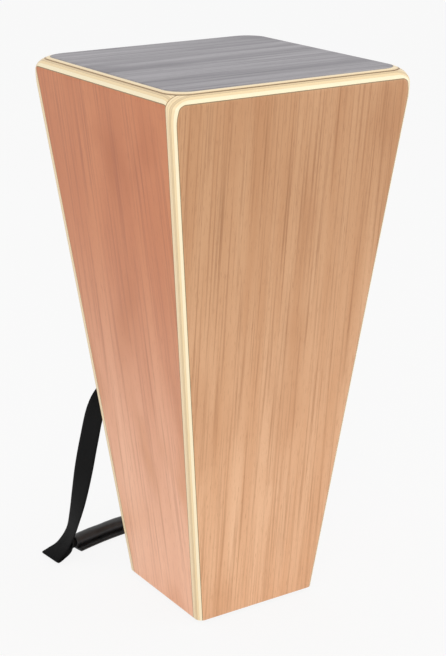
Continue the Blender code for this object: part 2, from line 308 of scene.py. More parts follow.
@dataclass(frozen=True)
class Plywood(Finish):
    """Lacquered plywood: rotary cut birch plies under a thin face veneer.

    The edges are cut across the plies, so they show as pale and darker stripes with dark glue lines, and a
    band of painted shade by the inner face for the joints' gaps;
    the rounded edges show them as bands beside the veneer. The lacquer gives a soft satin shine.
    """

    roughness: float = 0.42
    face_point: Point = (0, 0, 0)
    face_normal: Point = (0, 0, 1)
    grain: Point = (0, 0, 1)
    thickness: float = 13.5 * MM
    veneer: Veneer = HONEY_VENEER
    plies: tuple[tuple[float, str], ...] = BOARD_PLIES
    face_thickness: float = 0.6 * MM
    fibre_width: float = 1.1 * MM
    fibre_length: float = 60 * MM
    fibre_detail: float = 3.0
    fibre_contrast: float = 0.20
    fibre_relief: float = 0.12
    fibre_depth: float = 0.3 * MM
    lacquer: float = 0.12
    lacquer_roughness: float = 0.35

    def paint(self, tree: Tree, shader: Node) -> None:
        """Paints plies by their depth under the face, and veneer over them.

        Args:
            tree: the material's node tree.
            shader: its shader node.
        """
        place = add_node(tree, "TexCoord").outputs["Object"]
        normal = Vector(self.face_normal).normalized()
        level = add_node(
            tree, "VectorMath", {0: place, 1: normal}, operation="DOT_PRODUCT"
        ).outputs["Value"]
        face_level = normal.dot(Vector(self.face_point))
        depth = add_node(tree, "Math", {0: face_level, 1: level}, operation="SUBTRACT").outputs[0]
        share = add_node(tree, "Math", {0: depth, 1: self.thickness}, operation="DIVIDE").outputs[0]
        stops = [(min(start / self.thickness, 1.0), color) for start, color in self.plies]
        plies = add_node(tree, "ValToRGB", {0: share}, stops)
        plies.color_ramp.interpolation = "CONSTANT"
        across = Vector(self.grain).cross(normal).normalized()
        fibres = self.stretched_noise(
            tree, place, across, self.fibre_width, self.fibre_length, self.fibre_detail
        )
        edge = add_node(
            tree,
            "Mix",
            {0: self.fibre_contrast, 6: plies.outputs[0], 7: fibres},
            data_type="RGBA",
            blend_type="OVERLAY",
        ).outputs[2]
        wood = self.veneer_color(tree, place, across)
        covered = add_node(
            tree, "Math", {0: depth, 1: self.face_thickness}, operation="LESS_THAN"
        ).outputs[0]
        color = add_node(tree, "Mix", {0: covered, 6: edge, 7: wood}, data_type="RGBA").outputs[2]
        tree.links.new(color, shader.inputs["Base Color"])
        relief = {"Strength": self.fibre_relief, "Distance": self.fibre_depth, "Height": fibres}
        tree.links.new(add_node(tree, "Bump", relief).outputs[0], shader.inputs["Normal"])
        shader.inputs["Coat Weight"].default_value = self.lacquer
        shader.inputs["Coat Roughness"].default_value = self.lacquer_roughness

    def stretched_noise(
        self,
        tree: Tree,
        place: Socket,
        across: Vector,
        width: float,
        length: float,
        detail: float,
    ) -> Socket:
        """Noise that is drawn out along the grain.

        Args:
            tree: the material's node tree.
            place: the point on the piece.
            across: the direction across the grain, in the face.
            width: the pattern's size across the grain.
            length: its size along the grain.
            detail: how many finer layers it has.

        Returns:
            The noise, from 0 to 1.
        """
        normal = Vector(self.face_normal).normalized()
        along = across.cross(normal).normalized()
        parts = {}
        for name, direction, size in (("X", across, width), ("Y", along, length), ("Z", normal, width)):
            parts[name] = add_node(
                tree, "VectorMath", {0: place, 1: direction / size}, operation="DOT_PRODUCT"
            ).outputs["Value"]
        stretched = add_node(tree, "CombineXYZ", parts).outputs[0]
        settings = {"Vector": stretched, "Scale": 1.0, "Detail": detail, "Roughness": 0.55}
        return add_node(tree, "TexNoise", settings).outputs[0]

    def veneer_color(self, tree: Tree, place: Socket, across: Vector) -> Socket:
        """The veneer's colour: its broad figure, its layers, and a darkening towards the top that is partly
        the wood's own colour and partly painted shade.

        Args:
            tree: the material's node tree.
            place: the point on the piece.
            across: the direction across the grain, in the face.

        Returns:
            The colour.
        """
        veneer = self.veneer
        figure = self.stretched_noise(
            tree, place, across, veneer.figure_width, veneer.figure_length, veneer.figure_detail
        )
        stops = list(zip(veneer.figure_range, (veneer.middle, veneer.pale)))
        color = add_node(tree, "ValToRGB", {0: figure}, stops).outputs[0]
        for layer in veneer.layers():
            pattern = self.stretched_noise(tree, place, across, layer.width, layer.length, layer.detail)
            shown = add_node(
                tree,
                "MapRange",
                {0: pattern, 1: layer.low, 2: layer.high, 3: 0.0, 4: layer.share},
                interpolation_type=layer.fade.value,
            ).outputs[0]
            color = add_node(
                tree, "Mix", {0: shown, 6: color, 7: linear(layer.color)}, data_type="RGBA"
            ).outputs[2]
        # Darker towards the top: partly the wood's own deeper colour, partly painted shade.
        height = add_node(tree, "SeparateXYZ", {0: place}).outputs["Z"]
        low, high = veneer.tone_and_shade_heights
        upper = add_node(
            tree, "MapRange", {0: height, 1: low, 2: high}, interpolation_type=Fade.SOFT.value
        ).outputs[0]
        return add_node(
            tree,
            "Mix",
            {0: upper, 6: color, 7: linear(veneer.upper_tone_and_shade)},
            data_type="RGBA",
            blend_type="MULTIPLY",
        ).outputs[2]


@dataclass(frozen=True)
class Softwood(Finish):
    """Planed pine, left bare: yellowish, with darker late wood lines along its length."""

    roughness: float = 0.7
    grain: Point = (0, 0, 1)
    ring_spacing: float = 5 * MM
    stretch: float = 0.95

    def paint(self, tree: Tree, shader: Node) -> None:
        """Paints growth rings, drawn out along the grain.

        Args:
            tree: the material's node tree.
            shader: its shader node.
        """
        place = add_node(tree, "TexCoord").outputs["Object"]
        squeeze = [1 - self.stretch * abs(part) for part in self.grain]
        mapped = add_node(tree, "Mapping", {"Vector": place, "Scale": squeeze}).outputs[0]
        settings = {"Vector": mapped, "Scale": 1 / self.ring_spacing, "Detail": 3.0, "Distortion": 0.4}
        rings = add_node(tree, "TexNoise", settings).outputs[0]
        stops = [(0.35, "#E9CFA0"), (0.52, "#DDBB85"), (0.66, "#BF935B")]
        color = add_node(tree, "ValToRGB", {0: rings}, stops).outputs[0]
        tree.links.new(color, shader.inputs["Base Color"])
        bump = add_node(tree, "Bump", {"Strength": 0.2, "Distance": 0.2 * MM, "Height": rings})
        tree.links.new(bump.outputs[0], shader.inputs["Normal"])


@dataclass(frozen=True)
class Mottled(Finish):
    """A finish whose shade, and where given its roughness, changes softly from place to place."""

    shades: tuple[str, str] = ("#000000", "#FFFFFF")
    shade_range: tuple[float, float] = (0.35, 0.70)
    mottle_size: float = 3 * MM
    mottle_detail: float = 2.0
    roughness_range: tuple[float, float] | None = None

    def paint(self, tree: Tree, shader: Node) -> None:
        """Paints the changing shade.

        Args:
            tree: the material's node tree.
            shader: its shader node.
        """
        place = add_node(tree, "TexCoord").outputs["Object"]
        settings = {"Vector": place, "Scale": 1 / self.mottle_size, "Detail": self.mottle_detail}
        mottle = add_node(tree, "TexNoise", settings).outputs[0]
        stops = list(zip(self.shade_range, self.shades))
        color = add_node(tree, "ValToRGB", {0: mottle}, stops).outputs[0]
        tree.links.new(color, shader.inputs["Base Color"])
        if self.roughness_range:
            low, high = self.roughness_range
            rough = add_node(tree, "MapRange", {0: mottle, 3: low, 4: high}).outputs[0]
            tree.links.new(rough, shader.inputs["Roughness"])


@dataclass(frozen=True)
class Rubber(Mottled):
    """Moulded rubber: matte near-black with faint dust and a fine grain from its mould."""

    roughness: float = 0.85
    shades: tuple[str, str] = ("#1C1C1D", "#2B2A29")
    shade_range: tuple[float, float] = (0.35, 0.75)
    mottle_size: float = 6 * MM
    mottle_detail: float = 5.0
    grain_size: float = 0.6 * MM

    def paint(self, tree: Tree, shader: Node) -> None:
        """Paints the dust, then the grain in relief.

        Args:
            tree: the material's node tree.
            shader: its shader node.
        """
        super().paint(tree, shader)
        place = add_node(tree, "TexCoord").outputs["Object"]
        grit = add_node(tree, "TexNoise", {"Vector": place, "Scale": 1 / self.grain_size}).outputs[0]
        bump = add_node(tree, "Bump", {"Strength": 0.3, "Distance": 0.1 * MM, "Height": grit})
        tree.links.new(bump.outputs[0], shader.inputs["Normal"])


@dataclass(frozen=True)
class PlatedSteel(Mottled):
    """Pressed steel with black zinc plating: dark and slightly glossy, with an uneven sheen."""

    roughness: float = 0.38
    metallic: float = 0.9
    shades: tuple[str, str] = ("#242426", "#3A3A3D")
    mottle_detail: float = 4.0
    roughness_range: tuple[float, float] | None = (0.30, 0.48)


@dataclass(frozen=True)
class Thread(Mottled):
    """Bonded nylon thread: dark with a slight shine, its twist a fine change of shade."""

    shades: tuple[str, str] = ("#1B1B1C", "#39393B")
    shade_range: tuple[float, float] = (0.3, 0.7)
    mottle_size: float = 0.5 * MM


@dataclass(frozen=True)
class Leatherette(Mottled):
    """Embossed vinyl leatherette over foam: black, soft shine, pebbled grain."""

    roughness: float = 0.42
    shades: tuple[str, str] = ("#161617", "#222224")
    shade_range: tuple[float, float] = (0.3, 0.7)
    mottle_size: float = 20 * MM
    mottle_detail: float = 3.0
    roughness_range: tuple[float, float] | None = (0.34, 0.50)
    pebble_size: float = 1.4 * MM

    def paint(self, tree: Tree, shader: Node) -> None:
        """Paints the shade, then the pebbles and the creases between them in relief.

        Args:
            tree: the material's node tree.
            shader: its shader node.
        """
        super().paint(tree, shader)
        place = add_node(tree, "TexCoord").outputs["Object"]
        cells = add_node(
            tree,
            "TexVoronoi",
            {"Vector": place, "Scale": 1 / self.pebble_size, "Randomness": 0.9},
            feature="DISTANCE_TO_EDGE",
        ).outputs["Distance"]
        pebble = add_node(tree, "MapRange", {0: cells, 1: 0.0, 2: 0.25}).outputs[0]
        bump = add_node(tree, "Bump", {"Strength": 0.35, "Distance": 0.15 * MM, "Height": pebble})
        tree.links.new(bump.outputs[0], shader.inputs["Normal"])


@dataclass(frozen=True)
class WovenWebbing(Finish):
    """Polypropylene webbing in a plain weave: matte black with ribs across its width."""

    roughness: float = 0.78
    warp_pitch: float = 1.3 * MM
    rib_pitch: float = 1.6 * MM
    fuzz_size: float = 7 * MM
    fuzz_share: float = 0.35
    sheen: float = 0.03
    specular: float = 0.08

    def paint(self, tree: Tree, shader: Node) -> None:
        """Paints ribs and warp threads from the strap's own width and length, with painted shade darkening
        the weave's hollows.

        Args:
            tree: the material's node tree.
            shader: its shader node.
        """
        flat = add_node(tree, "UVMap", uv_map="weave").outputs[0]
        split = add_node(tree, "SeparateXYZ", {0: flat})
        waves = []
        for axis, pitch in (("X", self.warp_pitch), ("Y", self.rib_pitch)):
            turn = add_node(
                tree, "Math", {0: split.outputs[axis], 1: 2 * math.pi / pitch}, operation="MULTIPLY"
            ).outputs[0]
            waves.append(add_node(tree, "Math", {0: turn}, operation="SINE").outputs[0])
        weave = add_node(tree, "Math", {0: waves[0], 1: waves[1]}, operation="MULTIPLY").outputs[0]
        height = add_node(tree, "MapRange", {0: weave, 1: -1.0, 2: 1.0}).outputs[0]
        settings = {"Vector": flat, "Scale": 1 / self.fuzz_size, "Detail": 4.0}
        fuzz = add_node(tree, "TexNoise", settings).outputs[0]
        # Painted shade: the colour follows the weave's height and is darker in its hollows.
        stops = [(0.0, "#040404"), (1.0, "#101011")]
        color = add_node(tree, "ValToRGB", {0: height}, stops).outputs[0]
        fuzzed_and_weave_shaded = add_node(
            tree,
            "Mix",
            {0: self.fuzz_share, 6: color, 7: fuzz},
            data_type="RGBA",
            blend_type="MULTIPLY",
        ).outputs[2]
        tree.links.new(fuzzed_and_weave_shaded, shader.inputs["Base Color"])
        bump = add_node(tree, "Bump", {"Strength": 0.5, "Distance": 0.3 * MM, "Height": height})
        tree.links.new(bump.outputs[0], shader.inputs["Normal"])
        shader.inputs["Sheen Weight"].default_value = self.sheen
        shader.inputs["Specular IOR Level"].default_value = self.specular


def place_mesh(name: str, mesh: bpy.types.Mesh) -> Piece:
    """Puts a mesh in the scene at the frame's origin.

    Args:
        name: the new object's name.
        mesh: its mesh.

    Returns:
        The object.
    """
    piece = bpy.data.objects.new(name, mesh)
    bpy.context.scene.collection.objects.link(piece)
    return piece


def closed_piece(name: str, vertices: Sequence, faces: Sequence, angle: float = SHARP_ANGLE) -> Piece:
    """Makes a piece from a closed mesh whose faces point out.

    Args:
        name: the piece's name.
        vertices: its points.
        faces: point numbers, face by face.
        angle: the angle in degrees above which an edge stays sharp.

    Returns:
        The piece.
    """
    mesh = bpy.data.meshes.new(name)
    mesh.from_pydata([tuple(v) for v in vertices], [], [tuple(f) for f in faces])
    shape = bmesh.new()
    shape.from_mesh(mesh)
    bmesh.ops.recalc_face_normals(shape, faces=shape.faces)
    shape.to_mesh(mesh)
    shape.free()
    mesh.shade_smooth()
    mesh.set_sharp_from_angle(angle=math.radians(angle))
    return place_mesh(name, mesh)


def skin(rings: Sequence[Sequence[Sequence[float]]], capped: bool = True) -> tuple[list, list]:
    """Joins a row of rings of equal length.

    Args:
        rings: the rings, end to end.
        capped: whether both ends are closed.

    Returns:
        The points and the faces.
    """
    count = len(rings[0])
    vertices = [point for ring in rings for point in ring]
    faces = []
    for row in range(len(rings) - 1):
        low = row * count
        for i in range(count):
            j = (i + 1) % count
            faces.append((low + i, low + j, low + count + j, low + count + i))
    if capped:
        last = (len(rings) - 1) * count
        faces.append(tuple(range(count)))
        faces.append(tuple(range(last + count - 1, last - 1, -1)))
    return vertices, faces


@dataclass
class DrumShape:
    """The drum's outer form, which every board is trimmed to."""

    top_width: float = 0.323
    base_width: float = 0.170
    thickness: float = 13.5 * MM
    edge_radius: float = 9 * MM
    top_edge_radius: float = 17 * MM
    top_corner_radius: float = 26 * MM
    corner_blend: float = 36 * MM
    glue_gap: float = 0.3 * MM
    corner_segments: int = 18
    top_edge_segments: int = 24
    blend_segments: int = 6
    top: float = field(init=False)
    under_top: float = field(init=False)
    middle_y: float = field(init=False)
    bottom: float = field(init=False)
    slope: float = field(init=False)
    lean: float = field(init=False)
    wall: float = field(init=False)

    def __post_init__(self) -> None:
        """Reads the drum's place and height from the frame."""
        low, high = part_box("playing_surface")
        self.top = high.z
        self.under_top = low.z - self.glue_gap
        self.middle_y = (low.y + high.y) / 2
        self.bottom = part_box("front_board")[0].z
        self.slope = (self.top_width - self.base_width) / 2 / (self.top - self.bottom)
        self.lean = math.atan(self.slope)
        self.wall = self.thickness / math.cos(self.lean)

    def half_width(self, z: float) -> float:
        """Half the drum's width at a height, before its edges are rounded."""
        return self.base_width / 2 + self.slope * (z - self.bottom)

    def inner_half(self, z: float) -> float:
        """Half the clear width between two boards, less the glue gap."""
        return self.half_width(z) - self.wall - self.glue_gap

    def corner_radius(self, depth: float) -> float:
        """The corners' radius in plan, which grows towards the top.

        Args:
            depth: the depth below the top.

        Returns:
            The radius.
        """
        if depth >= self.corner_blend:
            return self.edge_radius
        share = 1 - depth / self.corner_blend
        return self.edge_radius + (self.top_corner_radius - self.edge_radius) * share**2

    def ring(self, z: float) -> list[Point]:
        """The outer contour at one height.

        Args:
            z: the height.

        Returns:
            The contour's points, anticlockwise.
        """
        depth = self.top - z
        edge = self.top_edge_radius
        inset = edge - math.sqrt(edge**2 - (edge - depth) ** 2) if depth < edge else 0.0
        radius = self.corner_radius(depth)
        centre = self.half_width(z) - inset - radius
        points = []
        for quarter, (x_side, y_side) in enumerate(((1, 1), (-1, 1), (-1, -1), (1, -1))):
            for step in range(self.corner_segments + 1):
                angle = math.pi / 2 * (quarter + step / self.corner_segments)
                x = x_side * centre + radius * math.cos(angle)
                y = y_side * centre + radius * math.sin(angle)
                points.append((x, y + self.middle_y, z))
        return points

    def outline(self) -> Piece:
        """The whole outer form, as a solid to trim the boards with.

        Returns:
            The solid, which isn't part of the drum.
        """
        heights = [self.bottom]
        fade = self.corner_blend - self.top_edge_radius
        for step in range(self.blend_segments):
            heights.append(self.top - self.corner_blend + fade * step / self.blend_segments)
        for step in range(self.top_edge_segments + 1):
            angle = math.pi / 2 * (1 - step / self.top_edge_segments)
            heights.append(self.top - self.top_edge_radius * (1 - math.cos(angle)))
        return closed_piece("outline", *skin([self.ring(z) for z in heights]))


@dataclass
class Shell:
    """The four boards and the playing surface."""

    shape: DrumShape

    def plan(self, face: Face, z: float) -> tuple[float, float, float, float]:
        """A board's limits in plan at one height, past the drum's outline on its outer sides.

        Args:
            face: which board.
            z: the height.

        Returns:
            Lowest and highest x, then lowest and highest y.
        """
        outside = self.shape.half_width(z) + self.shape.edge_radius
        inside = self.shape.half_width(z) - self.shape.wall
        x_way, y_way = face.value
        if x_way:
            across = sorted((x_way * outside, x_way * inside))
            length = self.shape.inner_half(z)
            return (*across, -length, length)
        across = sorted((y_way * outside, y_way * inside))
        return (-outside, outside, *across)

    def slab(self, name: str, rows: Sequence[tuple[float, tuple]]) -> Piece:
        """A plain block between two heights.

        Args:
            name: the piece's name.
            rows: each height with its limits in plan.

        Returns:
            The block.
        """
        rings = []
        for z, (x_low, x_high, y_low, y_high) in rows:
            front, back = y_low + self.shape.middle_y, y_high + self.shape.middle_y
            rings.append([(x_low, front, z), (x_high, front, z), (x_high, back, z), (x_low, back, z)])
        return closed_piece(name, *skin(rings))

    def trim(self, piece: Piece, outline: Piece) -> Piece:
        """Rounds a block to the drum's outer form, and keeps its flat faces flat in shading.

        Args:
            piece: the block.
            outline: the drum's outer form.

        Returns:
            The same piece with its new mesh.
        """
        cut = piece.modifiers.new("outline", "BOOLEAN")
        cut.operation = "INTERSECT"
        cut.object = outline
        cut.solver = "EXACT"
        graph = bpy.context.evaluated_depsgraph_get()
        trimmed = bpy.data.meshes.new_from_object(piece.evaluated_get(graph))
        piece.modifiers.clear()
        piece.data = trimmed
        trimmed.shade_smooth()
        trimmed.set_sharp_from_angle(angle=math.radians(SHARP_ANGLE))
        even = piece.modifiers.new("even_normals", "WEIGHTED_NORMAL")
        even.keep_sharp = True
        return piece

    def seat(self, piece: Piece, node: str, slot: str) -> Piece:
        """Puts a piece on the drum in place of its solid.

        Args:
            piece: the piece.
            node: the solid's name.
            slot: the record's name for its material; not used.

        Returns:
            The same piece.
        """
        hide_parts(node)
        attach(piece, "drum_body")
        return piece

    def board(self, face: Face, outline: Piece) -> Piece:
        """One of the four boards.

        Args:
            face: which board.
            outline: the drum's outer form.

        Returns:
            The piece.
        """
        shape = self.shape
        name = f"{face.name.lower()}_board"
        rows = [(z, self.plan(face, z)) for z in (shape.bottom - shape.edge_radius, shape.under_top)]
        piece = self.trim(self.slab(name + "_plywood", rows), outline)
        x_way, y_way = face.value
        level, down = math.cos(shape.lean), -math.sin(shape.lean)
        half = shape.half_width(shape.bottom)
        Plywood(
            name=name + "_lacquered_plywood",
            face_point=(x_way * half, y_way * half + shape.middle_y, shape.bottom),
            face_normal=(x_way * level, y_way * level, down),
            thickness=shape.thickness,
            veneer=ROSE_VENEER if x_way else HONEY_VENEER,
        ).dress(piece)
        return self.seat(piece, name, "side_veneer" if x_way else "front_veneer")

    def top(self, outline: Piece) -> Piece:
        """The playing surface, with a light edge under its stain.

        Args:
            outline: the drum's outer form.

        Returns:
            The piece.
        """
        shape = self.shape
        reach = shape.top_width / 2 + shape.edge_radius
        plate_bottom = shape.under_top + shape.glue_gap
        rows = [(z, (-reach, reach, -reach, reach)) for z in (plate_bottom, shape.top + shape.edge_radius)]
        piece = self.trim(self.slab("playing_surface_stained", rows), outline)
        Plywood(
            name="grey_stained_plywood",
            roughness=0.5,
            face_point=(0, 0, shape.top),
            face_normal=(0, 0, 1),
            grain=(1, 0, 0),
            thickness=shape.top - plate_bottom,
            veneer=GREY_STAIN,
            plies=TOP_PLIES,
        ).dress(piece)
        return self.seat(piece, "playing_surface", "stained_top")

    def build(self) -> list[Piece]:
        """Makes, dresses and seats all five pieces.

        Returns:
            The pieces.
        """
        outline = self.shape.outline()
        pieces = [*(self.board(face, outline) for face in Face), self.top(outline)]
        bpy.data.objects.remove(outline, do_unlink=True)
        return pieces


@dataclass
class CarriedOver:
    """The frame's own pieces that keep their solids and get a better finish."""

    batten: Finish = Softwood("pine_upright", grain=(0, 0, 1))
    cross_rail: Finish = Softwood("pine_across", grain=(1, 0, 0))
    long_rail: Finish = Softwood("pine_lengthwise", grain=(0, 1, 0))
    foot: Finish = Rubber("moulded_black_rubber")
    metal: Finish = PlatedSteel("black_zinc_plated_steel")

    def finish(self, node: str) -> Finish | None:
        """Chooses a solid's finish.

        Args:
            node: the solid's name.

        Returns:
            The finish, or None for a solid that the scene has its own piece for.
        """
        if node.endswith("_batten"):
            return self.batten
        if node.endswith("_rail"):
            return self.cross_rail if node in ("front_rail", "back_rail") else self.long_rail
        if node.endswith("_foot"):
            return self.foot
        return self.metal if node.endswith(("_plate", "_screw")) else None

    def build(self) -> list[Piece]:
        """Dresses the inner frame, the feet, the plates and the screws.

        Returns:
            The pieces.
        """
        finished = [(self.finish(node), piece) for node, piece in frame["nodes"].items()]
        return [finish.dress(piece) for finish, piece in finished if finish]


def curve_value(a: float, b: float, c: float, d: float, t: float) -> float:
    """Reads the uniform Catmull-Rom curve through four numbers between the middle two.

    Args:
        a: the number before.
        b: the number at the start.
        c: the number at the end.
        d: the number after.
        t: the place between start and end, from 0 to 1.

    Returns:
        The curve's number there.
    """
    square = 2 * a - 5 * b + 4 * c - d
    cube = 3 * b - a - 3 * c + d
    return b + ((c - a) * t + square * t**2 + cube * t**3) / 2


def smooth_rows(rows: Sequence[Sequence[float]], segments: int) -> list[list[float]]:
    """Reads rows of numbers from one smooth curve that starts and ends along x.

    Args:
        rows: the rows that the curve goes through, x first.
        segments: how many steps lie between two of them.

    Returns:
        The curve's rows.
    """
    first, last = rows[0], rows[-1]
    before = (2 * first[0] - rows[1][0], *rows[1][1:])
    beyond = (2 * last[0] - rows[-2][0], *rows[-2][1:])
    rows = [before, *rows, beyond]
    smooth = []
    for quad in zip(rows, rows[1:], rows[2:], rows[3:]):
        for step in range(segments):
            smooth.append([curve_value(*numbers, step / segments) for numbers in zip(*quad)])
    smooth.append(list(last))
    return smooth


@dataclass
class Sleeve:
    """The padded sleeve: where it lies behind the anchors, its sizes, and the seam along its flange."""

    anchor: Vector
    half_length: float = 114 * MM
    diameter: float = 17.2 * MM
    wall: float = 1.3 * MM
    behind: float = 81.2 * MM
    bow: float = 11.7 * MM
    lift: float = 3.2 * MM
    floor_clearance: float = 0.4 * MM
    flange: float = 8.5 * MM
    flange_thickness: float = 2.6 * MM
    groove_place: float = 3.4 * MM
    groove_depth: float = 0.75 * MM
    round_steps: int = 44
    stations: int = 120
    # The padding's broad lumps and finer creases: their length along the sleeve, and their height.
    lump: tuple[float, float] = (22 * MM, 0.45 * MM)
    crease: tuple[float, float] = (7 * MM, 0.22 * MM)
    # The rolled ends: distance from the end, and how far the outside is drawn in there.
    rolled_end: tuple[tuple[float, float], ...] = ((0.0, 0.6 * MM), (0.25 * MM, 0.21 * MM))
    rolled_length: float = 1.2 * MM
    stitch_pitch: float = 4.2 * MM
    stitch_length: float = 3.0 * MM
    seam_margin: float = 6 * MM
    thread_radius: float = 0.32 * MM
    thread_sides: int = 8
    # A stitch's form: place from end to end, from -1 to 1, and thickness there as a share.
    stitch_form: tuple[tuple[float, float], ...] = ((-1, 0.3), (-0.7, 1.0), (0.7, 1.0), (1, 0.3))
    stitch_dip: float = 0.25 * MM

    def centre(self, x: float) -> Vector:
        """The middle of the round part.

        Args:
            x: the distance from the drum's middle.

        Returns:
            The point.
        """
        share = 1 - (x / self.half_length) ** 2
        y = self.anchor.y + self.behind - self.bow * (1 - share)
        z = self.diameter / 2 + self.floor_clearance / 2 + self.lift * share
        return Vector((x, y, z))

    def back_at(self, x: float) -> Vector:
        """The direction towards the back, square to the sleeve, at a distance from the middle."""
        return Vector((2 * self.bow * x / self.half_length**2, 1.0, 0.0)).normalized()

    def profile(self, x: float, shrink: float) -> tuple[list, list]:
        """The sleeve's section at one place along it.

        Args:
            x: the distance from the drum's middle.
            shrink: how far the outside is drawn in, for the rolled ends.

        Returns:
            The outside's and the bore's points, towards the back and up.
        """
        radius = self.diameter / 2
        bore = radius - self.wall
        flange_top = math.asin((self.flange_thickness - radius) / radius)
        lump_length, lump_height = self.lump
        crease_length, crease_height = self.crease
        outer, inner = [], []
        for step in range(self.round_steps + 1):
            angle = -math.pi / 2 + step / self.round_steps * (1.5 * math.pi - flange_top)
            across, up = math.cos(angle), math.sin(angle)
            # Both are read round a circle in the noise's own space, the creases in another part of it.
            lump = noise.noise(Vector((x / lump_length, 1.7 * across, 1.7 * up)))
            crease = noise.noise(Vector((x / crease_length, 0.8 * across, 5 + up)))
            fade = max(0.0, math.sin(angle / 2 + math.pi / 4))
            swell = radius - shrink + (lump_height * lump + crease_height * crease) * fade
            outer.append((swell * across, max(swell * up, -radius)))
            inner.append((bore * across, bore * up))
        edge = -radius - self.flange + shrink
        groove = edge + self.groove_place
        rise = self.flange_thickness - radius
        # Over the flange's top, down into the seam's groove, round the free edge and back underneath.
        lap = (
            (-radius - 1.2 * MM, rise - 0.1 * MM),
            (groove + 1.2 * MM, rise - 0.2 * MM),
            (groove, rise - self.groove_depth),
            (groove - 1.2 * MM, rise - 0.3 * MM),
            (edge + 0.5 * MM, rise - 0.4 * MM),
            (edge, rise - 1.2 * MM),
            (edge + 0.4 * MM, -radius + 0.2 * MM),
            (edge + 2.0 * MM, -radius),
            (-radius, -radius),
        )
        for i, point in enumerate(lap):
            angle = math.pi - flange_top + (i + 1) / (len(lap) + 1) * (math.pi / 2 + flange_top)
            outer.append(point)
            inner.append((bore * math.cos(angle), bore * math.sin(angle)))
        return outer, inner

    def cover(self) -> Piece:
        """The sleeve itself, open at both ends.

        Returns:
            The piece.
        """
        rolled = [(place - self.half_length, shrink) for place, shrink in self.rolled_end]
        straight = self.half_length - self.rolled_length
        places = [
            *rolled,
            *((straight * (2 * step / self.stations - 1), 0.0) for step in range(self.stations + 1)),
            *((-x, shrink) for x, shrink in reversed(rolled)),
        ]
        outside, inside = [], []
        for x, shrink in places:
            middle, back = self.centre(x), self.back_at(x)
            for rings, section in zip((outside, inside), self.profile(x, shrink)):
                rings.append([middle + back * p + UP * q for p, q in section])
        count = len(outside[0])
        vertices, faces = skin(outside, capped=False)
        bore_start = len(vertices)
        more, bore_faces = skin(inside, capped=False)
        vertices += more
        faces += [tuple(bore_start + i for i in face) for face in bore_faces]
        for end in (0, (len(outside) - 1) * count):
            for i in range(count):
                j = (i + 1) % count
                faces.append((end + i, end + j, bore_start + end + j, bore_start + end + i))
        piece = closed_piece("padded_sleeve", vertices, faces, angle=50)
        Leatherette("black_embossed_leatherette").dress(piece)
        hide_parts("strap_sleeve")
        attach(piece, "strap")
        return piece

    def stitch(self, x: float) -> list[list[Vector]]:
        """One stitch in the groove along the flange.

        Args:
            x: the distance of its middle from the drum's middle.

        Returns:
            The stitch's rings, end to end.
        """
        radius, back = self.diameter / 2, self.back_at(x)
        along = Vector((back.y, -back.x, 0.0))
        across = back * (-radius - self.flange + self.groove_place)
        depth = self.flange_thickness - radius - self.groove_depth + self.thread_radius * 0.5
        seat = self.centre(x) + across + UP * depth
        rings = []
        for reach, share in self.stitch_form:
            centre = seat + along * (reach * self.stitch_length / 2) - UP * (self.stitch_dip * abs(reach))
            girth = self.thread_radius * share
            angles = [2 * math.pi * k / self.thread_sides for k in range(self.thread_sides)]
            rings.append([centre + back * (girth * math.cos(a)) + UP * (girth * math.sin(a)) for a in angles])
        return rings

    def seam(self) -> Piece:
        """The row of stitches that closes the sleeve.

        Returns:
            The piece.
        """
        count = int((2 * self.half_length - self.seam_margin) / self.stitch_pitch)
        vertices: list[Vector] = []
        faces: list[tuple[int, ...]] = []
        for number in range(count):
            more, more_faces = skin(self.stitch((number - (count - 1) / 2) * self.stitch_pitch))
            faces += [tuple(len(vertices) + i for i in face) for face in more_faces]
            vertices += more
        piece = closed_piece("sleeve_stitches", vertices, faces, angle=60)
        Thread("black_nylon_thread").dress(piece)
        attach(piece, "strap")
        return piece

    def build(self) -> list[Piece]:
        """Makes the sleeve and its seam.

        Returns:
            The pieces.
        """
        return [self.cover(), self.seam()]


